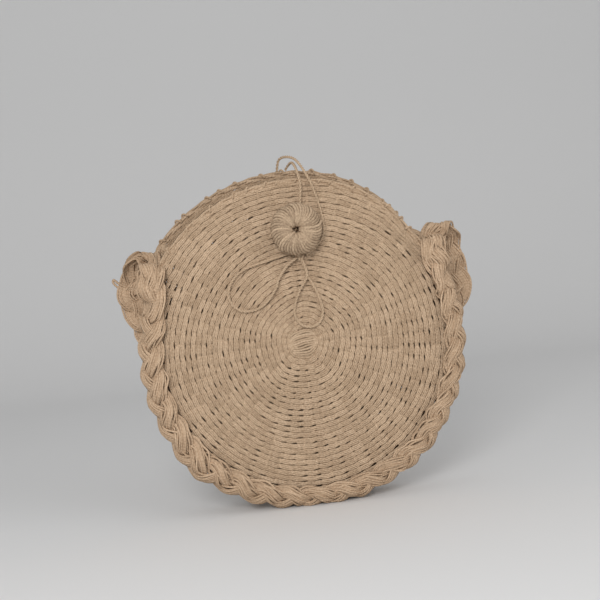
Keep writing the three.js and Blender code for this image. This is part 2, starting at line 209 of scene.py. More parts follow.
def edge_length(disc, phi):
    sewn = disc["seam"] + TURN_R * math.pi / 2 + disc["lap"]
    return mix(sewn, rim(disc, phi), freedom(disc, phi))


def wrap_point(phi, v, w):
    """A point of the wrap: v from the mid-plane over the turn to the front, w outwards."""
    over = np.maximum(0, v - TURN_Y)
    turn = np.clip(over / WRAP_R, 0, math.pi / 2)
    rho = WRAP_R + w
    y = -np.minimum(v, TURN_Y) - rho * np.sin(turn)
    return around(phi, SEAM_R + rho * np.cos(turn) - (over - WRAP_R * turn), y, PLAIT_FLOOR)


SPAN_POINTS = 24


def spline(points, n):
    """Evenly spaced points on a centripetal curve through the given ones."""
    p = np.asarray(points, float)
    p = np.vstack([2 * p[0] - p[1], p, 2 * p[-1] - p[-2]])
    out = []
    for i in range(1, len(p) - 2):
        a, b, c, d = p[i - 1 : i + 3]
        ab, bc, cd = (np.linalg.norm(q) ** 0.5 for q in (b - a, c - b, d - c))
        m1 = ((b - a) / ab - (c - a) / (ab + bc) + (c - b) / bc) * bc
        m2 = ((c - b) / bc - (d - b) / (bc + cd) + (d - c) / cd) * bc
        t = np.linspace(0, 1, SPAN_POINTS, endpoint=i == len(p) - 3)[:, None]
        cubic = (2 * b - 2 * c + m1 + m2) * t**3 + (3 * c - 3 * b - 2 * m1 - m2) * t**2
        out.append(cubic + m1 * t + b)
    return even(np.vstack(out), n)


def run_of(p):
    return np.concatenate([[0], np.cumsum(np.linalg.norm(np.diff(p, axis=0), axis=1))])


def even(p, n):
    run = run_of(p)
    want = np.linspace(0, run[-1], n)
    return np.stack([np.interp(want, run, p[:, k]) for k in range(3)], -1)


WAVES = 5
WAVE_SPREAD = (0.6, 1.7)
WAVE_SUM = 2.2


def wobble(x, kind, which):
    """Smooth unevenness along x. Its kind is a length, a height and a first seed."""
    scale, amount, seed = kind
    g = np.random.default_rng(seed + which)
    waves = g.uniform(*WAVE_SPREAD, WAVES) / scale
    phases = g.uniform(0, TAU, WAVES)
    return amount * sum(np.sin(TAU * f * x + q) for f, q in zip(waves, phases)) / WAVE_SUM


ROW_SIDES = 5
CORD_SIDES = 6
ROUND_SIDES = 7
RIBBON_SIDES = 8
# Where a tube faces further down than this, its underside can be painted darker as shade
UNDERSIDE_SHADE_FROM = -0.1


class Cords:
    """Collects cords and makes them one mesh."""

    def __init__(self):
        self.verts, self.quads, self.caps = [], [], []
        self.tint, self.along, self.turn, self.crest = [], [], [], []
        self.count = 0

    def add(self, p, radius, ref, sides=CORD_SIDES, tint=None, flat=1.0, inner=1.0):
        """Adds a tube along p with its crest towards ref; its flanks get painted shade through the
        crest weight, and inner dims its underside's crest, painting its underside darker.
        """
        p = np.asarray(p, float)
        n = len(p)
        t = unit(np.gradient(p, axis=0))
        side = unit(np.cross(t, np.broadcast_to(np.asarray(ref, float), p.shape)))
        up = np.cross(side, t) * np.broadcast_to(np.asarray(flat, float), (n,))[:, None]
        a = np.linspace(0, TAU, sides, endpoint=False)
        r = np.broadcast_to(np.asarray(radius, float), (n,))[:, None, None]
        ring = np.cos(a)[None, :, None] * up[:, None] + np.sin(a)[None, :, None] * side[:, None]
        self.verts.append((p[:, None] + r * ring).reshape(-1, 3))
        i = np.arange(n - 1)[:, None] * sides
        j = np.arange(sides)[None]
        k = (j + 1) % sides
        q = np.stack([i + j, i + sides + j, i + sides + k, i + k], -1).reshape(-1, 4)
        self.quads.append(q + self.count)
        ends = np.arange(sides)
        self.caps.append(ends + self.count)
        self.caps.append(ends[::-1] + self.count + (n - 1) * sides)
        shade = rng.uniform(0, 1) if tint is None else tint
        self.tint.append(np.repeat(np.broadcast_to(shade, (n,)), sides))
        self.along.append(np.repeat(run_of(p), sides))
        self.turn.append(np.tile(a, n))
        # Painted shade: the crest weight darkens each tube's flanks, as in the grooves between
        # cords, and inner darkens its underside further
        crest = np.cos(a) ** 2 * np.where(np.cos(a) < UNDERSIDE_SHADE_FROM, inner, 1)
        self.crest.append(np.tile(crest, n))
        self.count += n * sides

    def build(self, name, material, body, slot, nodes=()):
        """Makes the mesh, with nothing under the floor, and hangs it on a body if one is given."""
        verts = np.vstack(self.verts) * MM
        verts[:, 2] = np.maximum(verts[:, 2], 0)
        quads = np.vstack(self.quads)
        loops = np.concatenate([quads.ravel()] + self.caps).astype(np.int32)
        totals = np.concatenate([np.full(len(quads), 4), [len(c) for c in self.caps]])
        starts = np.concatenate([[0], np.cumsum(totals)[:-1]])
        mesh = bpy.data.meshes.new(name)
        mesh.vertices.add(len(verts))
        mesh.vertices.foreach_set("co", verts.astype(np.float32).ravel())
        mesh.loops.add(len(loops))
        mesh.loops.foreach_set("vertex_index", loops)
        mesh.polygons.add(len(totals))
        mesh.polygons.foreach_set("loop_start", starts.astype(np.int32))
        mesh.polygons.foreach_set("use_smooth", np.ones(len(totals), bool))
        for key in ("tint", "along", "turn", "crest"):
            values = np.concatenate(getattr(self, key)).astype(np.float32)
            mesh.attributes.new(key, "FLOAT", "POINT").data.foreach_set("value", values)
        mesh.update(calc_edges=True)
        mesh.validate()
        mesh.materials.append(material)
        obj = bpy.data.objects.new(name, mesh)
        bpy.context.scene.collection.objects.link(obj)
        if nodes:
            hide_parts(*nodes)
        if body:
            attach(obj, body)
        return obj


# How much each effect shifts a cord's shade from its dark to its light colour
TINT_SHARE = 0.48
BLOTCH_SHARE = 0.62
TWIST_SHARE = 0.1
FUZZ_SHARE = 1.4
# The flank terms paint shade: cords darken on their flanks, as in the grooves between them, and on
# their dimmed undersides
FLANK_SHADE_SHARE = 1.3
FLANK_SHADE_FROM = -0.5
SHADE_DROP = 0.78
TWIST_PER_MM = 2.2
TWIST_SLANT = 2.0
BLOTCH_SCALE, BLOTCH_DETAIL = 45.0, 3.0
FUZZ_SCALE, FUZZ_DETAIL = 620.0, 2.0
BUMP_STRENGTH, BUMP_DEPTH = 0.35, 0.0004
PAPER_ROUGHNESS = 0.82
PAPER_SPECULAR = 0.25


def paper(name, color, dark):
    """Twisted paper cord: matt, with fine slanting twist lines, blotchy tone, and painted shade on
    each cord's flanks and dimmed undersides.
    """
    material = bpy.data.materials.new(name)
    material.use_nodes = True
    nodes, links = material.node_tree.nodes, material.node_tree.links
    shader = nodes["Principled BSDF"]
    shader.inputs["Roughness"].default_value = PAPER_ROUGHNESS
    shader.inputs["Specular IOR Level"].default_value = PAPER_SPECULAR
    coords = nodes.new("ShaderNodeTexCoord")

    def math_node(kind, a, b=None):
        node = nodes.new("ShaderNodeMath")
        node.operation = kind
        for socket, value in zip(node.inputs, (a, b)):
            if isinstance(value, (int, float)):
                socket.default_value = value
            elif value is not None:
                links.new(value, socket)
        return node.outputs[0]

    def attribute(key):
        node = nodes.new("ShaderNodeAttribute")
        node.attribute_name = key
        return node.outputs["Fac"]

    def noise(scale, detail):
        node = nodes.new("ShaderNodeTexNoise")
        node.inputs["Scale"].default_value = scale
        node.inputs["Detail"].default_value = detail
        links.new(coords.outputs["Object"], node.inputs["Vector"])
        return node.outputs["Fac"]

    slant = math_node("MULTIPLY", attribute("turn"), TWIST_SLANT)
    wound = math_node("MULTIPLY", attribute("along"), TWIST_PER_MM)
    twist = math_node("SINE", math_node("ADD", wound, slant))
    blotch = math_node("MULTIPLY", noise(BLOTCH_SCALE, BLOTCH_DETAIL), BLOTCH_SHARE)
    fuzz = math_node("MULTIPLY", noise(FUZZ_SCALE, FUZZ_DETAIL), FUZZ_SHARE)
    # Painted shade on each cord's flanks and dimmed underside
    flank_shade = math_node("MULTIPLY", math_node("ADD", attribute("crest"), FLANK_SHADE_FROM), FLANK_SHADE_SHARE)
    shade = math_node("MULTIPLY", attribute("tint"), TINT_SHARE)
    shade = math_node("ADD", shade, blotch)
    shade = math_node("ADD", shade, math_node("MULTIPLY", twist, TWIST_SHARE))
    shade = math_node("ADD", shade, fuzz)
    shade = math_node("ADD", shade, math_node("MINIMUM", flank_shade, 0.0))
    shade = math_node("SUBTRACT", shade, SHADE_DROP)
    ramp = nodes.new("ShaderNodeMix")
    ramp.data_type = "RGBA"
    ramp.inputs["A"].default_value = (*dark, 1)
    ramp.inputs["B"].default_value = (*color, 1)
    links.new(shade, ramp.inputs["Factor"])
    links.new(ramp.outputs["Result"], shader.inputs["Base Color"])
    bump = nodes.new("ShaderNodeBump")
    bump.inputs["Strength"].default_value = BUMP_STRENGTH
    bump.inputs["Distance"].default_value = BUMP_DEPTH
    links.new(twist, bump.inputs["Height"])
    links.new(bump.outputs["Normal"], shader.inputs["Normal"])
    return material


WOVEN = paper("woven_cord", (0.60, 0.445, 0.305), (0.39, 0.274, 0.177))
BRAID = paper("braid_cord", (0.61, 0.445, 0.302), (0.41, 0.282, 0.18))
TIE = paper("tie_cord", (0.60, 0.447, 0.304), (0.41, 0.29, 0.188))
WOUND = paper("wound_cord", (0.57, 0.421, 0.285), (0.27, 0.19, 0.123))

# The spiral rows of a disc: each is two cords of three plies, twined round the spokes
ROW_PITCH = 4.92
ROW_STEP = 1.5
TURN_STEP = 0.0005
PLY_R = 0.86
PLY_STEP = 1.42
PLY_DIP = 0.25
PLY_SWAY = 0.35
# The crest kept on a ply's underside: lower paints the discs' inner faces darker, as shade
PLY_UNDERSIDE_SHADE = 0.1
PLY_SHIFT = (9, 0.12, 30)
PLY_LIFT = (13, 0.12, 50)
PLY_THICKNESS = (17, 0.08, 70)
TWINE_LEAN = (35, 0.15, 8)
WEFT_SEED = 500
STRAY_WIDE, STRAY_FINE = 1.0, 0.7
STRAY_TWIST = 30
STRAY_BEGINS = (0, 30)
SLIT_OPEN = 0.58
SLIT_CLOSED_BELOW, SLIT_RANGE, SLIT_MOST = 0.25, 0.55, 1.15
SLIT_POWER = 4
SLITS_BEGIN = (8, 22)
HUB_TURNS = 2.2
HUB_TILT = 9.0
HUB_SHIFT = np.array([-2.8, 0, 4.7])
HUB_CORDS = 11
HUB_PITCH = 2.2
HUB_CORD_R = 1.12
HUB_HALF = 14
HUB_TAPER = 0.16
HUB_SPLAY = 0.006
HUB_RISE = 1.6
HUB_FALL = 0.012
HUB_POINTS = 24
HUB_WAVE = (20, 0.3, 400)
HUB_LIFT = (9, 0.2, 420)
ZONES = ((HUB_TURNS, 20), (8.5, 40), (17.3, 60))
SPOKE_T = 0.6
# Spokes are tinted dark: painted shade where they show in the gaps between the rows
SPOKE_SHADE_TINT = 0.2
SPOKE_STEP = 3.0
SPOKES_BEGIN = 2.0
SPOKES_PART = (14, 32)
SPOKE_FILL_AT_HUB = 1.05
SPOKE_LAP = 1.0
SPOKE_PAST_EDGE = 1.5


def spokes_at(turns):
    """Spokes crossed in one turn of the spiral: more as the disc grows."""
    (_, few), (from_more, more), (from_most, most) = ZONES
    return np.where(turns > from_most, most, np.where(turns > from_more, more, few))


def woven_point(disc, s, phi, off):
    """The front spiral starts off the middle, and the rows wander a little together."""
    a = np.radians(phi)
    stray = STRAY_WIDE * np.sin(2 * a + 1) + STRAY_FINE * np.sin(5 * a + s / STRAY_TWIST)
    p = disc_point(disc, s + stray * smooth(*STRAY_BEGINS, s), phi, off)
    if disc is FRONT:
        fade = np.maximum(0, 1 - s / disc["seam"]) ** 2
        p = p + HUB_SHIFT * fade[:, None]
    return p


def spiral(disc):
    """Run, turns, length from the hub and spokes passed, at even steps along the spiral."""
    seam, rows_out = disc["seam"], disc["rows_out"]
    seam_row = seam / ROW_PITCH
    turns = np.arange(HUB_TURNS, seam_row + rows_out, TURN_STEP)
    beyond = (turns - seam_row) / rows_out
    edge = edge_length(disc, turns * 360)
    s_at = np.where(beyond < 0, turns * ROW_PITCH, mix(seam, edge, beyond))
    steps = np.hypot(np.diff(turns) * TAU * s_at[1:], np.diff(s_at))
    run = np.concatenate([[0], np.cumsum(steps)])
    passed = np.concatenate([[0], np.cumsum(np.diff(turns) * spokes_at(turns[1:]))])
    want = np.arange(0, run[-1], ROW_STEP)
    return (want, *(np.interp(want, run, v) for v in (turns, s_at, passed)))


def wefts(disc, name, nodes):
    """Spiral rows of two flat cords, twined round the spokes and parted here and there."""
    side, seam = disc["side"], disc["seam"]
    g = np.random.default_rng(WEFT_SEED + side)
    run, turn, s, gaps = spiral(disc)
    phi, psi = turn * 360, gaps * math.pi
    count = int(gaps[-1]) + 2
    slits = (g.uniform(0, 1, count) - SLIT_CLOSED_BELOW) / SLIT_RANGE
    slits = np.clip(slits, 0, SLIT_MOST)
    above = np.rint(gaps).astype(int)
    below = np.maximum(0, above - spokes_at(turn))
    near = np.cos(psi) ** SLIT_POWER * smooth(*SLITS_BEGIN, s)
    lean = 1 + wobble(run, TWINE_LEAN, side)
    room = (edge_length(disc, phi) - seam) / disc["rows_out"] / ROW_PITCH
    crowded = np.minimum(1, np.where(s < seam, 1, room))
    for k in (0, 1):
        a = psi + k * math.pi
        shade = g.uniform(0, 1, count)[(a / TAU).astype(int)]
        for j in (-1, 0, 1):
            which = 3 * k + j
            slit = near * slits[above if j > 0 else below] * SLIT_OPEN
            at = s + j * (PLY_STEP - slit) * crowded + PLY_SWAY * np.cos(a)
            at = at + wobble(run, PLY_SHIFT, which)
            off = np.sin(a) * lean - PLY_DIP * j * j + wobble(run, PLY_LIFT, which)
            p = woven_point(disc, at, phi, off)
            up = unit(woven_point(disc, at, phi, off + 1) - p)
            radius = PLY_R * crowded * (1 + wobble(run, PLY_THICKNESS, which))
            cords = Cords()
            # The plies' undersides, the discs' inner faces, are painted darker as shade
            cords.add(p, radius, up, ROW_SIDES, tint=shade, inner=PLY_UNDERSIDE_SHADE)
            label = f"{name}_weft_{k + 1}_{j + 2}"
            cords.build(label, WOVEN, "bag", "woven_cord", nodes if k + j < 0 else ())


def spokes(disc, name):
    """Flat spokes behind the rows, with more added where a new zone begins. The spokes are real,
    but their dark tint is painted shade where they show between the rows.
    """
    cords = Cords()
    seam = disc["seam"]
    zone_tops = [turn * ROW_PITCH + SPOKE_LAP for turn, _ in ZONES[1:]] + [math.inf]
    for (first, count), zone_top in zip(ZONES, zone_tops):
        start = SPOKES_BEGIN if first == HUB_TURNS else first * ROW_PITCH - SPOKE_LAP
        for i in range(count):
            phi_at = 360 / count * (i + 0.5)
            edge = float(edge_length(disc, np.array([phi_at]))[0])
            line = np.arange(start, min(zone_top, edge + SPOKE_PAST_EDGE), SPOKE_STEP)
            space = TAU * np.minimum(line, seam + TURN_R) / count
            fill = mix(SPOKE_FILL_AT_HUB, disc["spoke_fill"], smooth(*SPOKES_PART, line))
            half = space / 2 * fill
            at = np.full(len(line), phi_at)
            p = woven_point(disc, line, at, np.zeros(len(line)))
            up = unit(woven_point(disc, line, at, np.ones(len(line))) - p)
            cords.add(p, half, up, tint=SPOKE_SHADE_TINT, flat=SPOKE_T / half)
    cords.build(f"{name}_spokes", WOVEN, "bag", "woven_cord")


def hub(disc, name):
    """Side-by-side cords that start the spiral."""
    cords = Cords()
    side = disc["side"]
    for c in range(HUB_CORDS):
        bend = c - HUB_CORDS // 2
        x = np.linspace(-1, 1, HUB_POINTS) * (HUB_HALF - HUB_TAPER * bend**2)
        z = bend * HUB_PITCH - HUB_SPLAY * x**2 * bend + wobble(x, HUB_WAVE, c)
        s, phi = np.hypot(x, z), np.degrees(np.arctan2(x, z)) + side * HUB_TILT
        off = HUB_RISE - HUB_FALL * x**2 + wobble(x, HUB_LIFT, c)
        cords.add(woven_point(disc, s, phi, off), HUB_CORD_R, [0, float(side), 0])
    cords.build(f"{name}_hub", WOVEN, "bag", "woven_cord")


def panel(disc, name, nodes):
    wefts(disc, name, nodes)
    spokes(disc, name)
    hub(disc, name)


BORDER_ROWS = 4
BORDER_PITCH = 1.3
BORDER_CORD_R = 1.05
BORDER_WAVE = 21
BORDER_PAST = 14
BORDER_IN = 0.2
BORDER_WEAVE = 0.9
BORDER_STEP = 1.9
BORDER_POINTS = 440
BORDER_LIFT = (24, 0.35, 70)
BORDER_SEED = 60
END_STEP = 6.4
END_SPAN = 2.2
END_R = 1.0
END_RISE = (3.2, 5.2)
END_DEPTH = 1.6
END_SCATTER = 1.2
END_BULGE = 0.7
END_POINTS = 17
END_TINT = 0.2


def border(disc, name, nodes):
    """The closing rows along a free rim, with spoke ends turned down over them."""
    cords = Cords()
    side = disc["side"]
    g = np.random.default_rng(BORDER_SEED + side)
    middle = np.array([0, 0, HUB_Z])
    t = np.linspace(-FREE_UPTO - BORDER_PAST, FREE_UPTO + BORDER_PAST, BORDER_POINTS)
    base = edge_length(disc, t)
    run = np.radians(t) * rim(disc, t)
    for row in range(BORDER_ROWS):
        rise = base - BORDER_IN + BORDER_PITCH * row + wobble(run, BORDER_LIFT, row + side)
        deep = BORDER_WEAVE * np.sin(TAU * run / BORDER_WAVE + BORDER_STEP * row)
        p = disc_point(disc, rise, t, deep)
        cords.add(p, BORDER_CORD_R, unit(p - middle))
    q = np.linspace(0, 1, END_POINTS)
    for at in np.arange(-FREE_UPTO, FREE_UPTO, END_STEP):
        phi = at + g.normal(0, END_SCATTER) + END_SPAN * q
        r = rim(disc, phi) + END_R + g.uniform(*END_RISE) * np.sin(math.pi * q) ** END_BULGE
        p = around(phi, r, side * (DISC_DEPTH + END_DEPTH * np.cos(math.pi * q)))
        cords.add(p, END_R, unit(p - middle), tint=END_TINT)
    cords.build(name, WOVEN, "bag", "woven_cord", nodes)


LACING_TURNS = 52
LACING_R = 1.0
LACING_LIFT = 1.75
LACING_TINT = 0.4
LACING_SPAN_POINTS = 10


def lacing():
    """The seam cord zigzags in the lap between the turned edges."""
    turn = np.arange(LACING_TURNS + 1)
    phi = mix(WRAP_END, 360 - WRAP_END, turn / LACING_TURNS)
    y = np.where(turn % 2, -LACING_R, TURN_Y - BACK["lap"] + LACING_R)
    r = np.full(LACING_TURNS + 1, SEAM_R + TURN_R + DISC_T / 2 + LACING_LIFT)
    p = spline(around(phi, r, y), LACING_SPAN_POINTS * LACING_TURNS)
    cords = Cords()
    cords.add(p, LACING_R, unit(p - np.array([0, 0, HUB_Z])), tint=LACING_TINT)
    cords.build("lacing_cord", BRAID, "bag", "braid_cord", ["seam_lacing"])


# Routes from the end of the wrap, by side: out to that side, depth and rise for an ear,
# and out and rise for the top of the strap behind the bag
EAR_WAY = {
    -1: (
        (-2, -27, 19.6), (-2.5, -27, 35.8), (-3, -22.5, 43), (-3.5, -14, 42), (-3, -3, 39),
        (-5, 8, 45.5), (0, 14, 53.5), (7.5, 19.5, 50.5), (12.2, 24.5, 42), (14.8, 27.3, 34),
        (17, 27.3, 25.6), (17.5, 27.3, 24.2),
    ),
    1: (
        (-6.5, -27, 19.6), (-11, -27, 35.8), (-11.5, -22.5, 43.5), (-10, -14, 42.5), (-6, -3, 40),
        (-2, 8, 45), (5, 14, 55), (12.5, 20.5, 51), (16.5, 26, 41), (18.5, 27.3, 25.6),
        (18.8, 27.3, 24.1),
    ),
}
STRAP_WAY = {
    -1: ((17, 25.6), (19.5, 18.4), (18, 12), (14.5, 5), (9.5, -6), (5.5, -13.6), (0, -30.4)),
    1: ((18.5, 25.6), (20, 18), (22, 5), (22.5, -4), (18.5, -13.6), (10, -21), (2.6, -30.4)),
}
# A cord pulled out of the strap beside the left ear: along x, depth and rise
LOOSE = np.array(
    [
        [-19, 27, 18], [-28, 26.5, 25], [-34, 26, 32],
        [-33.5, 25.5, 34.5], [-29.5, 26, 31], [-20, 27, 25],
    ]
)
LOOSE_R = 1.1
# The loose cord's crest faces this way, so its flanks, painted darker as shade, run along its edges
# seen from the front
LOOSE_CREST = (0, -1.0, 0.2)
LOOSE_POINTS = 40
EAR_TUCK = 1.0
EAR_LEAVES = 4.5
EAR_SWING = 0.69
EAR_OVERLAP = 1.5
EAR_EASE = 14.0
EAR_LEVELS = (0, 0.25)
EAR_POINTS = 260
# An ear's edges droop by so much, from CUP_IN to CUP_OUT as shares of its run
EAR_CUP = {-1: 13.0, 1: 3.0}
CUP_IN = (0.45, 0.65)
CUP_OUT = (0.75, 0.95)
CUP_HALF = 12.5


def ear_start(side, back_by):
    return wrap_point(np.array([side * (WRAP_END - back_by)]), WRAP_AT, 0.0)[0]


def ear_route(side):
    """Up the front, over the front rim, down into the mouth, over the back rim and down."""
    start = ear_start(side, EAR_TUCK)
    rest = [[start[0] + side * out, y, start[2] + rise] for out, y, rise in EAR_WAY[side]]
    return np.array([start, ear_start(side, EAR_LEAVES), *rest])


def ear_frame(side):
    """Middle line of an ear with its directions across the plait and out of its face."""
    line = spline(ear_route(side), EAR_POINTS)
    along = unit(np.gradient(line, axis=0))
    phi = np.array([side * (WRAP_END - EAR_TUCK)])
    on_wrap = unit(wrap_point(phi, WRAP_AT - 1, 0.0) - wrap_point(phi, WRAP_AT + 1, 0.0))
    blend = smooth(*EAR_LEVELS, np.linspace(0, 1, len(line)))[:, None]
    wide = across(mix(on_wrap, np.array([[float(side), 0, 0]]), blend), along)
    return line, -wide, np.cross(along, wide) * -side


# A plait's strand: cords side by side, and a flat ribbon amid them that keeps light from passing,
# tinted dark as painted shade in the gaps between the cords
STRANDS = 3
STRAND_CORDS = 9
STRAND_HALF = 6.2
STRAND_R = 0.97
STRAND_CROWN = 1.1
STRAND_RISE = 2.5
SWING = 8.6
RIBBON_DEPTH = 0.4
RIBBON_HALF = 4.8
RIBBON_FLAT = 0.06
RIBBON_SHADE_TINT = 0.1
STRAND_STEP = 1.3
STRAND_JOIN = 1.4
WRAP_SHIFT = (28, 0.7, 200)
WRAP_LIFT = (25, 0.35, 100)
# The plait puffs out: height, angle and half width of each hump, none on the foot
PUFF = 1.8
SWELLS = ((3.2, 226, 30), (3.6, 228, 6), (2, 137, 9))
FOOT_HUMP = (180, 14)
SWELL_ENDS = (20, 36)
WRAP_RUN = math.radians(360 - 2 * WRAP_END) * (
    SEAM_R + WRAP_R * math.cos((WRAP_AT - TURN_Y) / WRAP_R)
)
WRAP_PERIODS = round(WRAP_RUN / PLAIT_PERIOD)
EARS = {side: ear_frame(side) for side in (-1, 1)}
EAR_RUN = {side: run_of(EARS[side][0])[-1] for side in (-1, 1)}


def plait_offsets(k, phase, f, tight):
    """Way across and out of the plait for the cord at share f of strand k."""
    phase = phase + TAU * k / STRANDS
    swing = SWING * mix(1, EAR_SWING, tight)
    slope = swing * TAU * np.cos(phase) / PLAIT_PERIOD
    u = swing * np.sin(phase) + f * STRAND_HALF * np.hypot(1, slope)
    return u, STRAND_RISE * np.sin(2 * phase) + STRAND_CROWN * (1 - f * f)


def cord_shares():
    return [2 * c / (STRAND_CORDS - 1) - 1 for c in range(STRAND_CORDS)]


def add_ribbon(cords, p, up):
    # The ribbon's dark tint is painted shade where it shows between the cords
    low = p - RIBBON_DEPTH * up
    cords.add(low, RIBBON_HALF, up, RIBBON_SIDES, tint=RIBBON_SHADE_TINT, flat=RIBBON_FLAT)


def swell(phi, v):
    """How far the plait puffs out, fading at the foot and at its front edge."""
    out = PUFF
    for height, middle, half_width in SWELLS:
        out = out + height * hump(phi, middle, half_width)
    return out * (1 - hump(phi, *FOOT_HUMP)) * (1 - smooth(*SWELL_ENDS, v))


def onto_ear(side, run, u, w, p, up):
    """Moves the points past one end of the wrap over to the ear there."""
    line, wide, out = EARS[side]
    beyond = -run if side > 0 else run - WRAP_RUN
    at = np.clip(beyond, 0, EAR_RUN[side])
    far = run_of(line)
    centre, across_at, out_at = (
        np.stack([np.interp(at, far, q[:, d]) for d in range(3)], -1) for q in (line, wide, out)
    )
    gone = at / EAR_RUN[side]
    cup = EAR_CUP[side] * smooth(*CUP_IN, gone) * (1 - smooth(*CUP_OUT, gone))
    lift = w - cup * (u / CUP_HALF) ** 2
    on_ear = centre + across_at * u[:, None] + out_at * lift[:, None]
    share = (smooth(0, EAR_EASE, beyond) * (beyond > 0))[:, None]
    return mix(p, on_ear, share), unit(mix(up, out_at, share))


def gusset():
    """The plait round the bag, three strands of side-by-side cords, running on over both ears."""
    run = np.arange(-EAR_RUN[1], WRAP_RUN + EAR_RUN[-1], STRAND_STEP)
    phi = mix(WRAP_END, 360 - WRAP_END, np.clip(run, 0, WRAP_RUN) / WRAP_RUN)
    tight = smooth(0, EAR_EASE, np.maximum(-run, run - WRAP_RUN))
    phase = TAU * WRAP_PERIODS * run / WRAP_RUN
    ear_cords = {-1: Cords(), 1: Cords()}
    parts = {
        -1: run > WRAP_RUN - STRAND_JOIN,
        0: (run > -STRAND_JOIN) & (run < WRAP_RUN + STRAND_JOIN),
        1: run < STRAND_JOIN,
    }
    for k in range(STRANDS):
        cords = Cords()
        for c, f in enumerate(cord_shares()):
            u, w = plait_offsets(k, phase, f, tight)
            u = u + wobble(run, WRAP_SHIFT, 10 * k + c)
            w = w + wobble(run, WRAP_LIFT, 10 * k + c)
            v = WRAP_AT + u
            puffed = w + swell(phi, v)
            p = wrap_point(phi, v, puffed)
            up = unit(wrap_point(phi, v, puffed + 1) - p)
            for side in EARS:
                p, up = onto_ear(side, run, u, w, p, up)
            tint = rng.uniform(0, 1)
            for side, here in parts.items():
                to = ear_cords.get(side, cords)
                to.add(p[here], STRAND_R, up[here], tint=tint)
                if c == STRAND_CORDS // 2:
                    add_ribbon(to, p[here], up[here])
        name = f"gusset_braid_{k + 1}"
        cords.build(name, BRAID, "bag", "braid_cord", [f"gusset_strand_{k + 1}"])
    ear_cords[-1].build("ear_left_cords", BRAID, "bag", "braid_cord", ["ear_left"])
    ear_cords[1].build("ear_right_cords", BRAID, "bag", "braid_cord", ["ear_right"])


STRAP_EASE = 45.0
STRAP_ARC = np.arange(94, 175, 13)
STRAP_POINTS = 640
STRAP_SHIFT = (40, 0.5, 300)


def strap_half(side):
    """One side of the strap's middle line, from the ear down to the arc's foot."""
    start = ear_start(side, EAR_TUCK)
    half = [[start[0] + side * out, STRAP_Y, start[2] + rise] for out, rise in STRAP_WAY[side]]
    for a in np.radians(STRAP_ARC):
        x = side * STRAP_ARC_R * math.sin(a)
        half.append([x, STRAP_Y, HUB_Z + STRAP_ARC_R * math.cos(a)])
    return half


def strap_phase(run):
    """The plait's phase along the strap, which takes up the strands as the ears end."""
    period = WRAP_RUN / WRAP_PERIODS
    first = (WRAP_RUN + EAR_RUN[-1] - EAR_OVERLAP) / period + 0.5
    last = 0.5 - (EAR_RUN[1] - EAR_OVERLAP) / period
    whole = round(STRANDS * (run[-1] / PLAIT_PERIOD - last + first)) / STRANDS
    return TAU * (first + (last + whole - first) * run / run[-1])


def strap():
    """The plait hanging behind the bag, from one ear round to the other."""
    low = [0, STRAP_Y, HUB_Z - STRAP_ARC_R]
    line = spline(strap_half(-1) + [low] + strap_half(1)[::-1], STRAP_POINTS)
    run = run_of(line)
    thick = np.tile([0, 1.0, 0], (len(line), 1))
    wide = np.cross(thick, unit(np.gradient(line, axis=0)))
    phase = strap_phase(run)
    tight = 1 - smooth(0, STRAP_EASE, np.minimum(run, run[-1] - run))
    for k in range(STRANDS):
        cords = Cords()
        for c, f in enumerate(cord_shares()):
            u, w = plait_offsets(k, phase, f, tight)
            u = u + wobble(run, STRAP_SHIFT, 10 * k + c)
            p = line + wide * u[:, None] + thick * w[:, None]
            cords.add(p, STRAND_R, thick)
            if c == STRAND_CORDS // 2:
                add_ribbon(cords, p, thick)
        if k == 0:
            loose = spline(ear_start(-1, EAR_TUCK) * [1, 0, 1] + LOOSE, LOOSE_POINTS)
            cords.add(loose, LOOSE_R, LOOSE_CREST, ROUND_SIDES)
        name = f"strap_braid_{k + 1}"
        obj = cords.build(name, BRAID, None, "braid_cord", [f"strap_strand_{k + 1}"])
        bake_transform(obj)


WIND_LOOPS = 46
WIND_STEPS = 20
WIND_R = 1.32
WIND_UNEVEN = 0.8
WIND_LEAN = 0.22
WIND_OUTER_R = 22.3
WIND_HALF_DEPTH = 5.0
RING_R = 13.6
HOLE_R = (3.0, 5.2)
OUTER_UNEVEN = 0.4
DEPTH_UNEVEN = 0.6
WIND_FLATTEN = 0.8
WIND_SEED = 77
STEM_R = 0.8
STEM_PLY_R = 0.9
STEM_PITCH = 6
STEM_SUNK = 4
STEM_POINTS = 30


def on_button(a, r, y):
    return np.stack([r * np.cos(a), BUTTON_Y + y, HUB_Z + BUTTON_DZ + r * np.sin(a)], -1)


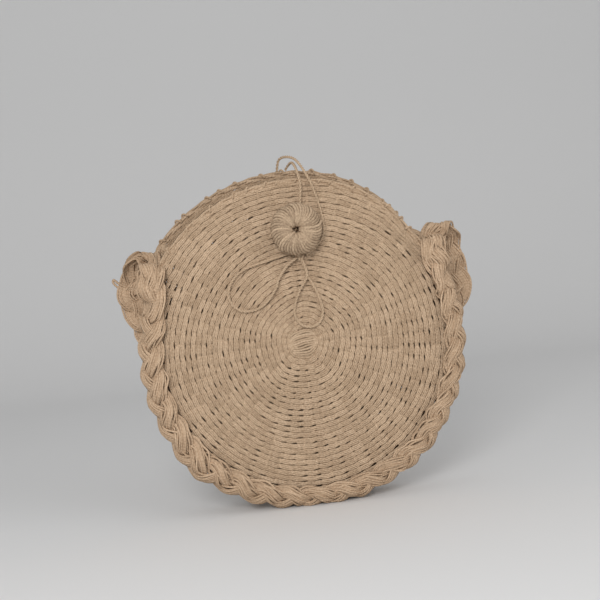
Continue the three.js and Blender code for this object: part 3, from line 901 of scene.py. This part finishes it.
def button():
    """One cord wound round a ring, loop beside loop, crowding in the hole."""
    turn = np.arange(0, WIND_LOOPS * WIND_STEPS + 1) / WIND_STEPS
    t = TAU * turn
    g = np.random.default_rng(WIND_SEED)
    loop = np.arange(WIND_LOOPS + 2)
    jitter = np.interp(turn, loop, g.normal(0, WIND_UNEVEN, WIND_LOOPS + 2))
    hole = np.interp(turn, loop + 0.5, g.uniform(*HOLE_R, WIND_LOOPS + 2))
    outwards = WIND_OUTER_R - RING_R + OUTER_UNEVEN * jitter
    r = RING_R + np.where(np.cos(t) > 0, outwards, RING_R - hole) * np.cos(t)
    depth = WIND_HALF_DEPTH + DEPTH_UNEVEN * jitter
    y = depth * np.sign(np.sin(t)) * np.abs(np.sin(t)) ** WIND_FLATTEN
    a = TAU * turn / WIND_LOOPS + WIND_LEAN * np.sin(t)
    p = on_button(a, r, y)
    middle = on_button(a, np.full(len(a), RING_R), np.zeros(len(a)))
    cords = Cords()
    for c in range(0, len(p) - 1, WIND_STEPS):
        part = slice(c, c + WIND_STEPS + 1)
        cords.add(p[part], WIND_R, unit(p[part] - middle[part]), ROUND_SIDES)
    cords.build("button_cord", WOUND, "button", "tie_cord", ["button_winding"])
    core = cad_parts["button_core"]
    core.data.materials.clear()
    core.data.materials.append(BRAID)


def button_stem():
    """Two plies twisted from the front disc into the button, and the stopper behind the disc."""
    stem = Cords()
    y = np.linspace(-DISC_DEPTH, BUTTON_Y + STEM_SUNK, STEM_POINTS)
    for j in (0, 1):
        b = TAU * y / STEM_PITCH + j * math.pi
        p = np.stack([STEM_R * np.cos(b), y, HUB_Z + BUTTON_DZ + STEM_R * np.sin(b)], -1)
        stem.add(p, STEM_PLY_R, [0, 0, 1.0])
    stem.build("button_stem", TIE, "bag", "tie_cord", ["button_shank"])
    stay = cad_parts["button_stay"]
    stay.data.materials.clear()
    stay.data.materials.append(TIE)


TIE_GAP = 0.55
TIE_ROOM = 1.2
TIE_TINT = 0.6
# Tie cords face their crest this way, so their flanks, painted darker as shade, run along their
# edges seen from the front
TIE_CREST = (0.15, -1.0, 0.1)
LEG_POINTS = 240
BOW_POINTS = 280
BOW_OVER = 2.8
BOW_CROSSES = (0.6, 0.85)
PLY_OFFSET = 0.62
PLY_TIE_R = 0.74
TIE_TWIST = 6.5
KNOT_CORD_R = 1.2
KNOT_TINT = 0.7
KNOT_DEPTH = 0.9
KNOT_REACH = 3
KNOT_POINTS = 120
BOW_KNOT_SIZE = 2.6
BOW_KNOT_OUT = 1.5
ANCHOR_SIZE = 2.3
ANCHOR_X = -3
ANCHOR_OUT = 3.1
ANCHOR_DROP = 6

# The closing cord's legs: across, depth and up from the hub over the rims, then down the front disc
BESIDE_BUTTON = 25.8
BACK_TOP = FREE_S + BACK_RISE
RIM_TOP = FREE_S + FIT + 2 * BORDER_R + FIT + TIE_ROOM
RIM_FRONT = DISC_DEPTH + BORDER_R + FIT + TIE_ROOM
LEG_LEFT = (
    (1.5, RIM_FRONT + FIT, BACK_TOP + 4), (4.5, DISC_DEPTH, RIM_TOP + BACK_RISE + 1.5),
    (6.5, 0, RIM_TOP + BACK_RISE + 1), (8, -DISC_DEPTH, RIM_TOP + 2),
    (8.5, -RIM_FRONT - 1, FREE_S - 3),
)
LEG_LEFT_DOWN = (
    (6.5, BUTTON_DZ + 20), (5, BUTTON_DZ), (3.4, KNOT_DZ + 9), (KNOT_X, KNOT_DZ + 4),
)
LEG_RIGHT = (
    (-7, RIM_FRONT + FIT, BACK_TOP + 1.5), (-4, DISC_DEPTH, RIM_TOP + BACK_RISE + 7),
    (7, 0, RIM_TOP + BACK_RISE + 6), (15, -DISC_DEPTH, RIM_TOP + 2),
    (19, -RIM_FRONT - 1, FREE_S - 3),
)
LEG_RIGHT_DOWN = (
    (BESIDE_BUTTON, BUTTON_DZ + 8), (BESIDE_BUTTON - 1, BUTTON_DZ - 8), (15, KNOT_DZ + 6),
    (KNOT_X + 5.8, KNOT_DZ + 1),
)
# The bow's loops on the front disc: across, and up from the hub
BOW_LEFT = (
    (-0.2, 82.6), (-4.7, 85), (-12.4, 83.8), (-25, 80.8), (-37.5, 77.8), (-47.5, 75),
    (-56.5, 69.8), (-62, 63.3), (-65.2, 55.7), (-64.4, 46.8), (-57.6, 38.8), (-49.8, 36.8),
    (-40.3, 38.3), (-31.6, 43.9), (-26.4, 50), (-22.8, 55.3), (-19.6, 62.8), (-15.7, 68.5),
    (-10.4, 74.6), (-1.4, 80.4),
)
BOW_LOWER = (
    (2, 81), (3.4, 76.1), (6.4, 67.3), (7.9, 61.1), (10.5, 56.1), (13.5, 48.7), (16.4, 39),
    (17.5, 31), (16.2, 25), (12.3, 19.8), (6.3, 17.4), (-1.1, 18.8), (-6.2, 24),
    (-8.2, 31), (-7.1, 38.6), (-3.6, 47.5), (0.9, 55.1), (5.3, 61.3), (6.2, 67.4),
    (4.6, 74.1), (2.8, 80),
)


def on_front(x, dz, gap=TIE_GAP):
    """Where a cord lies on the front disc."""
    x, dz = np.asarray(x, float), np.asarray(dz, float)
    y = -(dome_depth(FRONT, np.hypot(x, dz)) + DISC_T / 2 + gap + CORD_R)
    return np.stack([x, y, HUB_Z + dz], -1)


def bow_loop(spots):
    """A loop on the front disc, its second half lying over its first."""
    x, dz = np.array(spots, float).T
    over = smooth(*BOW_CROSSES, np.linspace(0, 1, len(x)))
    return spline(on_front(x, dz, TIE_GAP + BOW_OVER * over), BOW_POINTS)


def leg(over, down):
    """From behind the back rim over the mouth and both rims, and down the front to the knot."""
    over = np.array([[x, y, HUB_Z + z] for x, y, z in over])
    x, dz = np.array(down, float).T
    return spline(np.vstack([over, on_front(x, dz)]), LEG_POINTS)


def free_cord(name, p, node):
    """A cord of two plies twisted round each other."""
    cords = Cords()
    along = unit(np.gradient(p, axis=0))
    up = across(np.tile(TIE_CREST, (len(p), 1)), along)
    aside = np.cross(along, up)
    turn = TAU * run_of(p)[:, None] / TIE_TWIST
    for j in (0, math.pi):
        ply = p + PLY_OFFSET * (np.cos(turn + j) * up + np.sin(turn + j) * aside)
        cords.add(ply, PLY_TIE_R, up, tint=TIE_TINT)
    obj = cords.build(name, TIE, "tie", "tie_cord", [node])


def knot(name, centre, size, body, node):
    """A small tight knot: a few turns of cord over each other."""
    cords = Cords()
    t = np.linspace(0, TAU, KNOT_POINTS)
    x, z = np.sin(t) + 2 * np.sin(2 * t), np.cos(t) - 2 * np.cos(2 * t)
    p = np.stack([x, -KNOT_DEPTH * np.sin(3 * t), z], -1) / KNOT_REACH * size
    place = p + np.asarray(centre, float)
    cords.add(place, KNOT_CORD_R, unit(p), ROUND_SIDES, tint=KNOT_TINT)
    return cords.build(name, TIE, body, "tie_cord", [node])


def ties():
    """The closing cord: two legs, the knot, the bow's two loops and the anchor behind the rim."""
    bow_centre = on_front(KNOT_X, KNOT_DZ) + [0, -BOW_KNOT_OUT, 0]
    bow_knot = knot("bow_knot", bow_centre, BOW_KNOT_SIZE, "tie", "tie_knot")
    free_cord("tie_cord_left", leg(LEG_LEFT, LEG_LEFT_DOWN), "tie_leg_left")
    free_cord("tie_cord_right", leg(LEG_RIGHT, LEG_RIGHT_DOWN), "tie_leg_right")
    free_cord("bow_cord_left", bow_loop(BOW_LEFT), "bow_loop_left")
    free_cord("bow_cord_lower", bow_loop(BOW_LOWER), "bow_loop_lower")
    anchor_y = DISC_DEPTH + DISC_T / 2 + ANCHOR_OUT
    anchor = [ANCHOR_X, anchor_y, HUB_Z + FREE_S + BACK_RISE - ANCHOR_DROP]
    knot("anchor_knot", anchor, ANCHOR_SIZE, "bag", "tie_anchor")


panel(FRONT, "front", ["front_panel"])
panel(BACK, "back", ["back_panel"])
border(FRONT, "front_rim", ["front_border"])
border(BACK, "back_rim", ["back_border"])
lacing()
gusset()
strap()
button()
button_stem()
ties()

# The set, in metres
FLOOR_FRONT = -3.0
COVE_Y, COVE_R = 0.9, 0.6
WALL_TOP = 3.0
SET_HALF_WIDTH = 4.0
SET_GREY = 0.72
SET_ROUGHNESS = 0.9
COVE_POINTS = 16
LIT_AT = (0, 0, 0.15)
WORLD_STRENGTH = 0.5
# Each light's name, place, width and watts
LIGHTS = (
    ("key", (-0.35, -1.35, 0.7), 0.5, 12.5),
    ("fill", (1.2, -1.0, 0.9), 1.2, 5),
)


def stage():
    """Pale floor running up into a pale wall."""
    cove = [
        (COVE_Y + COVE_R * math.sin(a), COVE_R - COVE_R * math.cos(a))
        for a in np.linspace(0, math.pi / 2, COVE_POINTS)
    ]
    profile = [(FLOOR_FRONT, 0.0), *cove, (COVE_Y + COVE_R, WALL_TOP)]
    verts = [(x, y, z) for y, z in profile for x in (-SET_HALF_WIDTH, SET_HALF_WIDTH)]
    faces = [(2 * i, 2 * i + 1, 2 * i + 3, 2 * i + 2) for i in range(len(profile) - 1)]
    mesh = bpy.data.meshes.new("backdrop")
    mesh.from_pydata(verts, [], faces)
    mesh.polygons.foreach_set("use_smooth", [True] * len(faces))
    material = bpy.data.materials.new("backdrop")
    material.use_nodes = True
    shader = material.node_tree.nodes["Principled BSDF"]
    shader.inputs["Base Color"].default_value = (SET_GREY, SET_GREY, SET_GREY, 1)
    shader.inputs["Roughness"].default_value = SET_ROUGHNESS
    mesh.materials.append(material)
    obj = bpy.data.objects.new("backdrop", mesh)
    bpy.context.scene.collection.objects.link(obj)


def light(name, at, size, watts):
    data = bpy.data.lights.new(name, "AREA")
    data.size = size
    data.energy = watts
    obj = bpy.data.objects.new(name, data)
    obj.location = at
    obj.rotation_euler = (Vector(LIT_AT) - Vector(at)).to_track_quat("-Z", "Y").to_euler()
    bpy.context.scene.collection.objects.link(obj)


def light_world():
    """Even white light from all round."""
    scene = bpy.context.scene
    world = scene.world or bpy.data.worlds.new("world")
    scene.world = world
    world.use_nodes = True
    background = world.node_tree.nodes["Background"]
    background.inputs["Color"].default_value = (1, 1, 1, 1)
    background.inputs["Strength"].default_value = WORLD_STRENGTH
    scene.view_settings.view_transform = "Standard"


# The camera looks at AIM from these angles, with AIM at PIXEL in a picture PICTURE pixels wide
LENS = 66.4
SENSOR = 36
AZIMUTH, ELEVATION, ROLL, DISTANCE = -6.0, 3.0, 5.5, 1.0
AIM = Vector((0, -0.028, HUB_Z * MM))
PIXEL = (306.5, 346.3)
PICTURE = 600


def place_camera():
    data = bpy.data.cameras.new("camera")
    data.lens = LENS
    data.sensor_width = SENSOR
    camera = bpy.data.objects.new("camera", data)
    bpy.context.scene.collection.objects.link(camera)
    bpy.context.scene.camera = camera
    a, e = math.radians(AZIMUTH), math.radians(ELEVATION)
    back = Vector((math.sin(a) * math.cos(e), -math.cos(a) * math.cos(e), math.sin(e)))
    roll = Matrix.Rotation(math.radians(-ROLL), 3, "Z")
    turn = back.to_track_quat("Z", "Y").to_matrix() @ roll
    focal = LENS / SENSOR * PICTURE
    aside = (PIXEL[0] - PICTURE / 2) / focal
    above = (PICTURE / 2 - PIXEL[1]) / focal
    shift = Vector((aside, above, 0)) * DISTANCE
    camera.matrix_world = Matrix.Translation(AIM + back * DISTANCE - turn @ shift) @ turn.to_4x4()


stage()
for lamp in LIGHTS:
    light(*lamp)
light_world()
place_camera()
